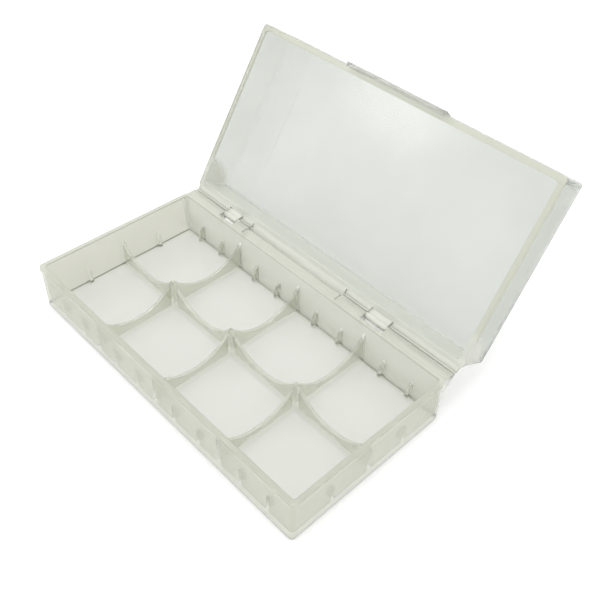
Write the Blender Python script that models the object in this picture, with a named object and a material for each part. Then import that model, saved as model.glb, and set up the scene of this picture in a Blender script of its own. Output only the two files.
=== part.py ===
"""Clear plastic battery box: a shallow tray with eight scooped bays and a deep hinged lid.

The tray stands on Z = 0 with its length along X, the hinge at the back (+Y) and the latch in front.
Each scoop in a divider is the seat of one lying cell, so cells lie across the box or along it.
The lid is modelled closed, parented to its hinge axis and then swung open.
"""

import math

import bmesh
import bpy
from mathutils import Matrix, Vector

PART_NAME = "battery_storage_box"

# Outline of the tray, measured over its rim band
BOX_LENGTH = 0.160
BOX_WIDTH = 0.0813
CORNER_RADIUS = 0.0020
DRAFT_ANGLE = math.radians(0.3)
RIM_BAND_HEIGHT = 0.0025
RIM_BAND_STEP = 0.0004

# Tray
TRAY_HEIGHT = 0.0226
TRAY_WALL = 0.0017
TRAY_FLOOR = 0.0021
TRAY_BOTTOM_RADIUS = 0.0006
TRAY_INNER_CORNER = 0.0012
TRAY_INNER_RADIUS = 0.0006

# Lid
LID_HEIGHT = 0.0198
LID_WALL = 0.0022
LID_OVERHANG = 0.0004
LID_PANEL = 0.0015
LID_EDGE_RADIUS = 0.0010
LID_INNER_CORNER = 0.0016
LID_INNER_RADIUS = 0.0008
RIM_CLEARANCE = 0.0003
LID_OPEN_ANGLE = math.radians(121.6)

# Sunk field on the outside of the lid, for a label
FIELD_LENGTH = 0.1242
FIELD_WIDTH = 0.0405
FIELD_DEPTH = 0.0002
FIELD_RADIUS = 0.0015

# Dividers and the scoops that seat the cells
COLUMN_COUNT = 4
ROW_COUNT = 2
DIVIDER_TOP = 0.0172
DIVIDER_TOP_THICKNESS = 0.0016
DIVIDER_BASE_THICKNESS = 0.0028
DIVIDER_FOOT_HEIGHT = 0.0010
DIVIDER_FOOT_FLARE = 0.0007
SCOOP_LOW = 0.0075
PEAK_WIDTH = 0.0010
SEAT_GAP = 0.0003

# Upright fins that keep the cells' ends off the walls, rounded from the shoulder to the top
FIN_TOP = 0.0115
FIN_SHOULDER = 0.0050
FIN_THICKNESS = 0.0016
FIN_DEPTH = 0.0027
FIN_TIP_DEPTH = 0.0004
FIN_FOOT_HEIGHT = 0.0009
FIN_FOOT_FLARE = 0.0005
FIN_SPREAD = 0.0148

# Hinge: pins on the lid that snap down into sockets behind the tray, level with its rim
HINGE_SETBACK = 0.0038
HINGE_DROP = 0.0011
PIN_RADIUS = 0.0010
PIN_CLEARANCE = 0.0003
SOCKET_WALL = 0.0008
SOCKET_ROOT = 0.0150
KNUCKLE_RADIUS = 0.0017
LEFT_KNUCKLE_LENGTH = 0.0080
LEFT_KNUCKLE_INSET = 0.0283
LEFT_INNER_SOCKET = 0.0070
RIGHT_KNUCKLE_LENGTH = 0.0106
RIGHT_KNUCKLE_INSET = 0.0400
RIGHT_INNER_SOCKET = 0.0140
KNUCKLE_ROOT_RISE = 0.0006
KNUCKLE_ROOT_HEIGHT = 0.0045
KNUCKLE_SIDE_GAP = 0.0007
HINGE_END_INSET = 0.0008

# Ledges that close the gap at the hinge line: the tray's between the sockets, the lid's over them too
LEDGE_THICKNESS = 0.0016
LEDGE_ROOT = 0.0009
LEDGE_CHAMFER = 0.0004
TRAY_LEDGE_SETBACK = 0.00025
LID_LEDGE_REACH = 0.0009
LEDGE_HOOD_ANGLE = math.radians(118)

# Latch tongue: a springy plate that hangs from the lid's band past the tray's
LATCH_LENGTH = 0.0518
LATCH_OVERLAP = 0.0050
LATCH_ROOT_HEIGHT = 0.0024
LATCH_SHOULDER_DROP = 0.0020
LATCH_PLATE = 0.0013
LATCH_LIP_HEIGHT = 0.0007
LATCH_LIP_CLEARANCE = 0.0001
LATCH_CHAMFER = 0.0004
LATCH_BEND_DROP = 0.0009
LATCH_CLEARANCE = 0.0003
LATCH_CORNER_RADIUS = 0.0012

# Facets and tool overruns
CORNER_SEGMENTS = 5
EDGE_SEGMENTS = 3
SCOOP_SEGMENTS = 20
FIN_SEGMENTS = 6
PIN_SEGMENTS = 24
ARC_STEP = math.radians(15)
OVERRUN = 0.0010
WELD_DISTANCE = 0.000001

# Places that follow from the sizes above
HALF_LENGTH = BOX_LENGTH / 2
HALF_WIDTH = BOX_WIDTH / 2
DRAFT_SLOPE = math.tan(DRAFT_ANGLE)
WALL_HALF_LENGTH = HALF_LENGTH - RIM_BAND_STEP
WALL_HALF_WIDTH = HALF_WIDTH - RIM_BAND_STEP
LID_HALF_LENGTH = HALF_LENGTH + LID_OVERHANG
LID_HALF_WIDTH = HALF_WIDTH + LID_OVERHANG
LID_WALL_HALF_LENGTH = LID_HALF_LENGTH - RIM_BAND_STEP
LID_WALL_HALF_WIDTH = LID_HALF_WIDTH - RIM_BAND_STEP
TRAY_INNER_HALF_LENGTH = WALL_HALF_LENGTH - TRAY_WALL
TRAY_INNER_HALF_WIDTH = WALL_HALF_WIDTH - TRAY_WALL
COLUMN_PITCH = 2 * TRAY_INNER_HALF_LENGTH / COLUMN_COUNT
ROW_PITCH = 2 * TRAY_INNER_HALF_WIDTH / ROW_COUNT
SCOOP_RISE = DIVIDER_TOP - SCOOP_LOW
LID_RIM = TRAY_HEIGHT + RIM_CLEARANCE
LID_TOP = LID_RIM + LID_HEIGHT
HINGE_AXIS = Vector((0.0, HALF_WIDTH + HINGE_SETBACK, TRAY_HEIGHT - HINGE_DROP))
SOCKET_BORE = PIN_RADIUS + PIN_CLEARANCE
SOCKET_RADIUS = SOCKET_BORE + SOCKET_WALL
LATCH_TIP = LID_RIM - LATCH_OVERLAP
LATCH_TOP = LID_RIM + LATCH_ROOT_HEIGHT
HINGE_END = HALF_LENGTH - HINGE_END_INSET
LEFT_KNUCKLE = HALF_LENGTH - LEFT_KNUCKLE_INSET
RIGHT_KNUCKLE = HALF_LENGTH - RIGHT_KNUCKLE_INSET
KNUCKLES = (("left", -1, LEFT_KNUCKLE, LEFT_KNUCKLE_LENGTH, LEFT_INNER_SOCKET),
            ("right", 1, RIGHT_KNUCKLE, RIGHT_KNUCKLE_LENGTH, RIGHT_INNER_SOCKET))

# Axes of a flat outline once it stands up: thickness along X, or thickness along Y
ALONG_X = Matrix(((0, 0, 1, 0), (1, 0, 0, 0), (0, 1, 0, 0), (0, 0, 0, 1)))
ALONG_Y = Matrix.Rotation(math.pi / 2, 4, "X")

# Colours of the clear plastic: the tray is a little warmer than the lid
TRAY_COLOUR = (0.80, 0.81, 0.75, 1.0)
LID_COLOUR = (0.77, 0.80, 0.75, 1.0)
PLASTIC_ROUGHNESS = 0.32
PLASTIC_ALPHA = 0.45


def clear_scene():
    """Removes every object, so that the script builds the same part each time."""
    for item in list(bpy.data.objects):
        bpy.data.objects.remove(item, do_unlink=True)


def new_collection(name):
    """Adds a collection to the scene."""
    collection = bpy.data.collections.new(name)
    bpy.context.scene.collection.children.link(collection)
    return collection


def plastic(name, colour):
    """Makes the milky clear plastic of one piece."""
    material = bpy.data.materials.new(name)
    material.use_nodes = True
    shader = material.node_tree.nodes["Principled BSDF"]
    shader.inputs["Base Color"].default_value = colour
    shader.inputs["Roughness"].default_value = PLASTIC_ROUGHNESS
    shader.inputs["Metallic"].default_value = 0.0
    shader.inputs["Alpha"].default_value = PLASTIC_ALPHA
    return material


def add_object(name, mesh, collection, colour=None):
    """Adds a mesh as an object, as a coloured piece or as a hidden tool."""
    item = bpy.data.objects.new(name, mesh)
    collection.objects.link(item)
    if colour is None:
        item.hide_render = True
        item.display_type = "WIRE"
    else:
        mesh.materials.append(plastic(name, colour))
    return item


def combine(target, tool, operation):
    """Joins a tool to the target, cuts it out, or keeps what both share."""
    modifier = target.modifiers.new(f"{operation.lower()} {tool.name}", "BOOLEAN")
    modifier.operation = operation
    modifier.solver = "EXACT"
    modifier.object = tool


def mesh_from(name, bm):
    """Turns a bmesh into a mesh with its faces pointing out."""
    bmesh.ops.recalc_face_normals(bm, faces=bm.faces)
    mesh = bpy.data.meshes.new(name)
    bm.to_mesh(mesh)
    bm.free()
    return mesh


def drafted_block(name, half_x, half_y, z_wide, z_narrow, corner_radius, edge_radius=0.0,
                  slope=DRAFT_SLOPE):
    """Block that narrows from z_wide to z_narrow, with round upright corners and a round narrow end."""
    inset = slope * abs(z_wide - z_narrow)
    bm = bmesh.new()
    bmesh.ops.create_cube(bm, size=2.0)
    for vert in bm.verts:
        wide = (vert.co.z > 0) == (z_wide > z_narrow)
        vert.co.x *= half_x if wide else half_x - inset
        vert.co.y *= half_y if wide else half_y - inset
        vert.co.z = z_wide if wide else z_narrow
    upright = [edge for edge in bm.edges if edge.verts[0].co.z != edge.verts[1].co.z]
    bmesh.ops.bevel(bm, geom=upright, offset=corner_radius, segments=CORNER_SEGMENTS, profile=0.5,
                    affect="EDGES")
    if edge_radius > 0:
        narrow = [edge for edge in bm.edges if all(vert.co.z == z_narrow for vert in edge.verts)]
        bmesh.ops.bevel(bm, geom=narrow, offset=edge_radius, segments=EDGE_SEGMENTS, profile=0.5,
                        affect="EDGES")
    return mesh_from(name, bm)


def outline_mesh(name, outline, depth, turn, place):
    """Mesh of a flat outline with some depth, turned upright and put in its place."""
    curve = bpy.data.curves.new(name, "CURVE")
    curve.dimensions = "2D"
    curve.fill_mode = "BOTH"
    curve.extrude = depth / 2
    spline = curve.splines.new("POLY")
    spline.points.add(len(outline) - 1)
    for point, (across, up) in zip(spline.points, outline):
        point.co = (across, up, 0.0, 1.0)
    spline.use_cyclic_u = True
    guide = bpy.data.objects.new(name, curve)
    bpy.context.scene.collection.objects.link(guide)
    evaluated = guide.evaluated_get(bpy.context.evaluated_depsgraph_get())
    mesh = bpy.data.meshes.new_from_object(evaluated)
    bpy.data.objects.remove(guide, do_unlink=True)
    bm = bmesh.new()
    bm.from_mesh(mesh)
    bpy.data.meshes.remove(mesh)
    bmesh.ops.remove_doubles(bm, verts=bm.verts, dist=WELD_DISTANCE)
    bmesh.ops.transform(bm, matrix=Matrix.Translation(place) @ turn, verts=bm.verts)
    return mesh_from(name, bm)


def pin_mesh(name, radius, length, place):
    """Mesh of a capped cylinder along X."""
    bm = bmesh.new()
    bmesh.ops.create_cone(bm, cap_ends=True, segments=PIN_SEGMENTS, radius1=radius, radius2=radius,
                          depth=length)
    turn = Matrix.Rotation(math.pi / 2, 4, "Y")
    bmesh.ops.transform(bm, matrix=Matrix.Translation(place) @ turn, verts=bm.verts)
    return mesh_from(name, bm)


def joined_mesh(name, meshes):
    """Gathers several closed meshes in one mesh, as one tool."""
    bm = bmesh.new()
    for mesh in meshes:
        bm.from_mesh(mesh)
        bpy.data.meshes.remove(mesh)
    return mesh_from(name, bm)


def arc(radius, start, end):
    """Points of an arc about the origin, in even steps from one angle to another."""
    steps = max(1, round(abs(end - start) / ARC_STEP))
    angles = [start + (end - start) * step / steps for step in range(steps + 1)]
    return [(radius * math.cos(angle), radius * math.sin(angle)) for angle in angles]


def column_edges():
    """Places of the cross dividers along X."""
    return [COLUMN_PITCH * (column - COLUMN_COUNT / 2) for column in range(1, COLUMN_COUNT)]


def bay_centres(count, pitch):
    """Places of the bays' middles along one side of the tray."""
    return [pitch * (number + 1 / 2 - count / 2) for number in range(count)]


def wall_inset(depth_below_rim):
    """How far the draft brings a tray wall in at some depth below the rim."""
    return DRAFT_SLOPE * depth_below_rim


def make_tray_shell(parts, tools):
    """Floor and four walls with a stepped rim band and the fins along the inside."""
    shell = add_object(
        "tray_shell",
        drafted_block("tray_shell", WALL_HALF_LENGTH, WALL_HALF_WIDTH, TRAY_HEIGHT, 0.0,
                      CORNER_RADIUS - RIM_BAND_STEP, TRAY_BOTTOM_RADIUS),
        parts, TRAY_COLOUR)
    band = add_object(
        "tray_rim_band",
        drafted_block("tray_rim_band", HALF_LENGTH, HALF_WIDTH, TRAY_HEIGHT, TRAY_HEIGHT - RIM_BAND_HEIGHT,
                      CORNER_RADIUS, slope=0.0),
        tools)
    widening = DRAFT_SLOPE * OVERRUN
    cavity = add_object(
        "tray_cavity",
        drafted_block("tray_cavity", TRAY_INNER_HALF_LENGTH + widening, TRAY_INNER_HALF_WIDTH + widening,
                      TRAY_HEIGHT + OVERRUN, TRAY_FLOOR, TRAY_INNER_CORNER, TRAY_INNER_RADIUS),
        tools)
    fins = add_object("wall_fins", make_fins(), tools)
    combine(shell, band, "UNION")
    combine(shell, cavity, "DIFFERENCE")
    combine(shell, fins, "UNION")
    return shell


def fin_outline():
    """Side view of a fin, from inside its wall: a flared foot, an upright edge and a rounded top."""
    root = -TRAY_WALL / 2
    low = TRAY_FLOOR / 2
    bend = TRAY_FLOOR + FIN_FOOT_HEIGHT
    edge = FIN_DEPTH + wall_inset(TRAY_HEIGHT - bend)
    foot = edge + FIN_FOOT_FLARE
    outline = [(root, low), (foot, low), (foot, TRAY_FLOOR), (edge, bend)]
    for step in range(FIN_SEGMENTS + 1):
        angle = math.pi / 2 * step / FIN_SEGMENTS
        height = FIN_SHOULDER + (FIN_TOP - FIN_SHOULDER) * math.sin(angle)
        depth = FIN_TIP_DEPTH + (FIN_DEPTH - FIN_TIP_DEPTH) * math.cos(angle)
        outline.append((depth + wall_inset(TRAY_HEIGHT - height), height))
    return [*outline, (root, FIN_TOP)]


def make_fins():
    """Two fins to a bay on each long wall and one to a bay on each end wall, as one tool."""
    meshes = []
    for side in (-1, 1):
        for middle in bay_centres(COLUMN_COUNT, COLUMN_PITCH):
            for offset in (-FIN_SPREAD / 2, FIN_SPREAD / 2):
                outline = [(-side * across, up) for across, up in fin_outline()]
                place = Vector((middle + offset, side * TRAY_INNER_HALF_WIDTH, 0.0))
                meshes.append(outline_mesh("fin", outline, FIN_THICKNESS, ALONG_X, place))
        for middle in bay_centres(ROW_COUNT, ROW_PITCH):
            outline = [(-side * across, up) for across, up in fin_outline()]
            place = Vector((side * TRAY_INNER_HALF_LENGTH, middle, 0.0))
            meshes.append(outline_mesh("fin", outline, FIN_THICKNESS, ALONG_Y, place))
    return joined_mesh("wall_fins", meshes)


def divider_section(growth=0.0):
    """Section of a divider up past its top, with a flared foot, grown by a clearance if asked."""
    bend = TRAY_FLOOR + DIVIDER_FOOT_HEIGHT
    high = DIVIDER_TOP + OVERRUN
    lean = (DIVIDER_BASE_THICKNESS - DIVIDER_TOP_THICKNESS) / 2 / (DIVIDER_TOP - bend)
    top = DIVIDER_TOP_THICKNESS / 2 + growth - lean * OVERRUN
    base = DIVIDER_BASE_THICKNESS / 2 + growth
    foot = base + DIVIDER_FOOT_FLARE
    low = TRAY_FLOOR / 2
    return [(-foot, low), (foot, low), (foot, TRAY_FLOOR), (base, bend), (top, high),
            (-top, high), (-base, bend), (-foot, TRAY_FLOOR)]


def scoop_outline(count, pitch):
    """Front view of all that is cut for a row of scoops, with a narrow peak left between each two."""
    half_chord = (pitch - PEAK_WIDTH) / 2
    radius = (SCOOP_RISE ** 2 + half_chord ** 2) / (2 * SCOOP_RISE)
    reach = math.asin(half_chord / radius)
    outline = []
    for middle in bay_centres(count, pitch):
        for step in range(SCOOP_SEGMENTS + 1):
            angle = reach * (2 * step / SCOOP_SEGMENTS - 1)
            rise = radius * (1 - math.cos(angle))
            outline.append((middle + radius * math.sin(angle), SCOOP_LOW + rise))
    end = count * pitch / 2
    return [(-end, DIVIDER_TOP), *outline, (end, DIVIDER_TOP), (end, TRAY_HEIGHT), (-end, TRAY_HEIGHT)]


def make_dividers(parts, tools):
    """One lengthwise divider and the cross dividers that meet it, all scooped for the cells."""
    space = add_object(
        "divider_space",
        drafted_block("divider_space", TRAY_INNER_HALF_LENGTH - SEAT_GAP, TRAY_INNER_HALF_WIDTH - SEAT_GAP,
                      TRAY_HEIGHT, TRAY_FLOOR + SEAT_GAP, TRAY_INNER_CORNER - SEAT_GAP,
                      TRAY_INNER_RADIUS - SEAT_GAP),
        tools)
    crossing = add_object(
        "crossing_clearance",
        outline_mesh("crossing_clearance", divider_section(SEAT_GAP), BOX_LENGTH, ALONG_X, Vector()),
        tools)
    scoops_across = add_object(
        "scoops_across",
        outline_mesh("scoops_across", scoop_outline(COLUMN_COUNT, COLUMN_PITCH), BOX_WIDTH, ALONG_Y,
                     Vector()),
        tools)
    scoops_along = add_object(
        "scoops_along",
        outline_mesh("scoops_along", scoop_outline(ROW_COUNT, ROW_PITCH), BOX_LENGTH, ALONG_X, Vector()),
        tools)
    lengthwise = add_object(
        "lengthwise_divider",
        outline_mesh("lengthwise_divider", divider_section(), BOX_LENGTH, ALONG_X, Vector()),
        parts, TRAY_COLOUR)
    combine(lengthwise, space, "INTERSECT")
    combine(lengthwise, scoops_across, "DIFFERENCE")
    for column, place in zip(("left", "middle", "right"), column_edges()):
        for row, side in (("front", -1), ("rear", 1)):
            name = f"cross_divider_{column}_{row}"
            middle = Vector((place, side * HALF_WIDTH / 2, 0.0))
            half = add_object(
                name,
                outline_mesh(name, divider_section(), HALF_WIDTH, ALONG_Y, middle),
                parts, TRAY_COLOUR)
            combine(half, space, "INTERSECT")
            combine(half, crossing, "DIFFERENCE")
            combine(half, scoops_along, "DIFFERENCE")


def socket_outline():
    """Side view of a hinge socket about the hinge axis: a bore that opens through a flat top."""
    wall = HALF_WIDTH + SEAT_GAP - HINGE_AXIS.y
    low_wall = wall - RIM_BAND_STEP
    step = TRAY_HEIGHT - RIM_BAND_HEIGHT - SEAT_GAP - HINGE_AXIS.z
    mouth = math.asin(HINGE_DROP / SOCKET_BORE)
    brow = math.asin(HINGE_DROP / SOCKET_RADIUS)
    outline = [(low_wall, SOCKET_ROOT - HINGE_AXIS.z)]
    outline += arc(SOCKET_RADIUS, -math.pi / 3, brow)
    outline += arc(SOCKET_BORE, mouth, -math.pi - mouth)
    return [*outline, (wall, HINGE_DROP), (wall, step), (low_wall, step)]


def ledge_outline(edge, face, away, tip):
    """Side view of a ledge about the hinge axis: flat at its rim, rooted on the band behind."""
    wall = edge + SEAT_GAP - HINGE_AXIS.y
    back = face + away * LEDGE_THICKNESS
    return [(wall, face), (tip - LEDGE_CHAMFER, face), (tip, face + away * LEDGE_CHAMFER),
            (tip, back - away * LEDGE_CHAMFER), (tip - LEDGE_CHAMFER, back),
            (wall + LEDGE_ROOT, back), (wall, back + away * LEDGE_ROOT)]


def hood_outline():
    """Side view of a lid ledge over a socket: its tip follows the socket's round back."""
    wall = LID_HALF_WIDTH + SEAT_GAP - HINGE_AXIS.y
    face = LID_RIM - HINGE_AXIS.z
    back = face + LEDGE_THICKNESS
    reach = SOCKET_RADIUS + PIN_CLEARANCE
    hood = arc(reach, math.pi - math.asin(face / reach), LEDGE_HOOD_ANGLE)
    return [(wall, face), *hood, (hood[-1][0], back), (wall + LEDGE_ROOT, back), (wall, back + LEDGE_ROOT)]


def make_ledge(name, outline, ends, colour, parts):
    """One straight ledge at the hinge line, from one place along X to another."""
    start, end = sorted(ends)
    centre = HINGE_AXIS + Vector(((start + end) / 2, 0.0, 0.0))
    return add_object(name, outline_mesh(name, outline, end - start, ALONG_X, centre), parts, colour)


def make_ledges(parts):
    """A deep ledge on the tray and on the lid between the sockets, and hooded lid ledges over them."""
    middle = []
    lid_ledges = []
    for hand, side, place, length, inner_length in KNUCKLES:
        inner_start = inner_socket_end(place, length) - inner_length
        middle.append(side * (inner_start - KNUCKLE_SIDE_GAP))
        for station, ends in (("inner", (inner_start, inner_socket_end(place, length))),
                              ("outer", (outer_socket_start(place, length), HINGE_END))):
            lid_ledges.append(make_ledge(
                f"lid_ledge_{hand}_{station}", hood_outline(), [side * end for end in ends],
                LID_COLOUR, parts))
    tray_outline = ledge_outline(HALF_WIDTH, TRAY_HEIGHT - HINGE_AXIS.z, -1, -TRAY_LEDGE_SETBACK)
    lid_outline = ledge_outline(LID_HALF_WIDTH, LID_RIM - HINGE_AXIS.z, 1, LID_LEDGE_REACH)
    make_ledge("tray_ledge_middle", tray_outline, middle, TRAY_COLOUR, parts)
    lid_ledges.append(make_ledge("lid_ledge_middle", lid_outline, middle, LID_COLOUR, parts))
    return lid_ledges


def inner_socket_end(place, length):
    """Where the socket on the inner side of a knuckle ends, from the box's middle."""
    return place - length / 2 - KNUCKLE_SIDE_GAP


def outer_socket_start(place, length):
    """Where the socket on the outer side of a knuckle starts, from the box's middle."""
    return place + length / 2 + KNUCKLE_SIDE_GAP


def make_sockets(parts):
    """An inner and an outer socket beside each of the two lid knuckles."""
    for hand, side, place, length, inner_length in KNUCKLES:
        inner_end = inner_socket_end(place, length)
        outer_start = outer_socket_start(place, length)
        for station, start, end in (("inner", inner_end - inner_length, inner_end),
                                    ("outer", outer_start, HINGE_END)):
            name = f"hinge_socket_{hand}_{station}"
            centre = HINGE_AXIS + Vector((side * (start + end) / 2, 0.0, 0.0))
            mesh = outline_mesh(name, socket_outline(), end - start, ALONG_X, centre)
            add_object(name, mesh, parts, TRAY_COLOUR)


def make_lid_shell(parts, tools):
    """The lid, closed: a panel, four walls with a stepped rim band, and a sunk label field."""
    lid = add_object(
        "lid_shell",
        drafted_block("lid_shell", LID_WALL_HALF_LENGTH, LID_WALL_HALF_WIDTH, LID_RIM, LID_TOP,
                      CORNER_RADIUS - RIM_BAND_STEP, LID_EDGE_RADIUS),
        parts, LID_COLOUR)
    band = add_object(
        "lid_rim_band",
        drafted_block("lid_rim_band", LID_HALF_LENGTH, LID_HALF_WIDTH, LID_RIM, LID_RIM + RIM_BAND_HEIGHT,
                      CORNER_RADIUS, slope=0.0),
        tools)
    widening = DRAFT_SLOPE * OVERRUN
    cavity = add_object(
        "lid_cavity",
        drafted_block("lid_cavity", LID_WALL_HALF_LENGTH - LID_WALL + widening,
                      LID_WALL_HALF_WIDTH - LID_WALL + widening, LID_RIM - OVERRUN, LID_TOP - LID_PANEL,
                      LID_INNER_CORNER, LID_INNER_RADIUS),
        tools)
    field = add_object(
        "label_field",
        drafted_block("label_field", FIELD_LENGTH / 2, FIELD_WIDTH / 2, LID_TOP + OVERRUN,
                      LID_TOP - FIELD_DEPTH, FIELD_RADIUS, slope=0.0),
        tools)
    combine(lid, band, "UNION")
    combine(lid, cavity, "DIFFERENCE")
    combine(lid, field, "DIFFERENCE")
    return [lid, band, cavity, field]


def knuckle_outline():
    """Side view of the web from the lid's back wall to the hinge axis, with the lid closed."""
    wall = LID_HALF_WIDTH - HINGE_AXIS.y + SEAT_GAP
    low = LID_RIM - HINGE_AXIS.z + KNUCKLE_ROOT_RISE
    high = low + KNUCKLE_ROOT_HEIGHT
    bridge = RIM_BAND_HEIGHT + LID_RIM - HINGE_AXIS.z + SEAT_GAP
    return [(wall, low), *arc(KNUCKLE_RADIUS, math.pi, 2 * math.pi + math.pi / 4),
            (wall - RIM_BAND_STEP, high), (wall - RIM_BAND_STEP, bridge), (wall, bridge)]


def make_hinge_pins(parts, tools):
    """Each lid knuckle carries a round pin that runs through the sockets on both its sides."""
    made = []
    for hand, side, place, length, inner_length in KNUCKLES:
        name = f"hinge_pin_{hand}"
        start = inner_socket_end(place, length) - inner_length
        centre = HINGE_AXIS + Vector((side * (start + HINGE_END) / 2, 0.0, 0.0))
        pin = add_object(
            name,
            pin_mesh(name, PIN_RADIUS, HINGE_END - start, centre),
            parts, LID_COLOUR)
        knuckle_name = f"knuckle_{hand}"
        knuckle_centre = HINGE_AXIS + Vector((side * place, 0.0, 0.0))
        knuckle = add_object(
            knuckle_name,
            outline_mesh(knuckle_name, knuckle_outline(), length, ALONG_X, knuckle_centre),
            tools)
        combine(pin, knuckle, "UNION")
        made += [pin, knuckle]
    return made


def latch_section():
    """Side view of the closed latch: a thin root on the lid's band, a plate and a lip below the tray's."""
    lip = -WALL_HALF_WIDTH - LATCH_LIP_CLEARANCE
    inner = -LID_HALF_WIDTH - SEAT_GAP
    outer = inner - LATCH_PLATE
    lip_top = TRAY_HEIGHT - RIM_BAND_HEIGHT - LATCH_CLEARANCE
    return [(inner, LATCH_TIP), (lip, lip_top - LATCH_LIP_HEIGHT), (lip, lip_top), (inner, lip_top),
            (inner, LATCH_TOP), (outer, LID_RIM - LATCH_SHOULDER_DROP),
            (outer, LATCH_TIP + LATCH_CHAMFER), (outer + LATCH_CHAMFER, LATCH_TIP)]


def latch_front():
    """Front view of the latch: straight ends and a tip with round corners."""
    end = LATCH_LENGTH / 2
    radius = LATCH_CORNER_RADIUS
    corner = arc(radius, -math.pi / 2, 0.0)
    right = [(end - radius + across, LATCH_TIP + radius + up) for across, up in corner]
    left = [(-across, up) for across, up in reversed(right)]
    return [*right, (end, LATCH_TOP + OVERRUN), (-end, LATCH_TOP + OVERRUN), *left]


def make_latch(parts, tools):
    """The springy tongue that is pressed over the tray's rim band."""
    tongue = add_object(
        "latch_tongue",
        outline_mesh("latch_tongue", latch_section(), LATCH_LENGTH + OVERRUN, ALONG_X, Vector()),
        parts, LID_COLOUR)
    front = add_object(
        "latch_front",
        outline_mesh("latch_front", latch_front(), BOX_WIDTH, ALONG_Y, Vector((0.0, -HALF_WIDTH, 0.0))),
        tools)
    combine(tongue, front, "INTERSECT")
    return [tongue, front]


def hang_on_axis(name, place, items, parent, tools):
    """Adds an empty on a joint's axis and parents the pieces that turn about it."""
    axis = bpy.data.objects.new(name, None)
    tools.objects.link(axis)
    axis.location = place
    bpy.context.view_layer.update()
    for item in items:
        item.parent = axis
        item.matrix_parent_inverse = axis.matrix_world.inverted()
    if parent is not None:
        axis.parent = parent
        axis.matrix_parent_inverse = parent.matrix_world.inverted()
    return axis


def build():
    """Builds the tray, the lid and the latch, and swings the lid open."""
    clear_scene()
    parts = new_collection(PART_NAME)
    tools = new_collection("cutters")
    make_tray_shell(parts, tools)
    make_dividers(parts, tools)
    make_sockets(parts)
    lid_items = make_lid_shell(parts, tools) + make_hinge_pins(parts, tools) + make_ledges(parts)
    latch_items = make_latch(parts, tools)
    lid_axis = hang_on_axis("lid_axis", HINGE_AXIS, lid_items, None, tools)
    latch_place = Vector((0.0, -LID_HALF_WIDTH - 2 * SEAT_GAP, LATCH_TOP - LATCH_BEND_DROP))
    hang_on_axis("latch_axis", latch_place, latch_items, lid_axis, tools)
    lid_axis.rotation_euler.x = -LID_OPEN_ANGLE
    for item in parts.objects:
        item.data.shade_smooth()
        item.data.set_sharp_from_angle(angle=math.radians(30))


build()
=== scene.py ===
"""Looks of a milky clear battery box: one moulded tray, one moulded lid and a springy latch tongue.

The tray and the lid are moulded shells whose inner surface follows a rule: walls, ribs and fins rise
from a flat floor and melt into each other, and a Geometry Nodes tree holds that rule. Everything is in
metres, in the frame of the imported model.
"""

import logging
import math
from dataclasses import dataclass, field
from enum import Enum
from typing import Sequence, Union

import bmesh
import bpy
from bpy.types import ID, Material, Mesh, Modifier, Node, NodeTree, Object
from bpy.types import NodeSocket as Socket
from mathutils import Matrix, Vector

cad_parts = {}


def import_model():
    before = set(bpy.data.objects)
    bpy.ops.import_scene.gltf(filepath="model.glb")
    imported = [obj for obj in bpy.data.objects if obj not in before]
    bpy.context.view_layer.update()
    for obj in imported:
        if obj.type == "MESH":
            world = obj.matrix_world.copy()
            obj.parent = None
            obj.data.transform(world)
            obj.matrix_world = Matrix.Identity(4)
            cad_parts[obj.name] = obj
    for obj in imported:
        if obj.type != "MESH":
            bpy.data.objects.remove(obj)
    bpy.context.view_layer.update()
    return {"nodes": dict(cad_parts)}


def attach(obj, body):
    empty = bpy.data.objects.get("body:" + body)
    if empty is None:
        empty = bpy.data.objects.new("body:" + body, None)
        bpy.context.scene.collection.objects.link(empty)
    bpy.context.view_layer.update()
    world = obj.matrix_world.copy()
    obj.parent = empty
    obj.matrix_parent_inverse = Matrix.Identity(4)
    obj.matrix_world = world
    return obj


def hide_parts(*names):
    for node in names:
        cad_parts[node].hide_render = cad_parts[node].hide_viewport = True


LOG = logging.getLogger("battery_box")

Colour = tuple[float, float, float]
Span = tuple[float, float]
Term = Union[Socket, float]

UPWARDS = Vector((0.0, 0.0, 1.0))
NO_RIM = Vector((0.0, 0.0, 1.0))
TRAY_HEIGHT = 0.0226
TRAY_HALF_WIDTH = 0.04065
SIDES = (-1, 1)
TINY = 1e-9
JUST_PAST = 1.0001
PLACE_DIGITS = 6
STEP_SLACK = 0.001
SEAT_GAP = 0.0003
ROOT_BAND = 1.2 * SEAT_GAP
ROOT_PUSH = 2 * SEAT_GAP
WELD_DISTANCE = 1e-6
SHARP_ANGLE = math.radians(50)
ROUNDED_CORNERS = 6


class Body(Enum):
    """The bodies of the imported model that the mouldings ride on."""

    TRAY = "tray"
    LID = "lid"


class Slot(Enum):
    """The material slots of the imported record."""

    TRAY = "tray_plastic"
    LID = "lid_plastic"


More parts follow.
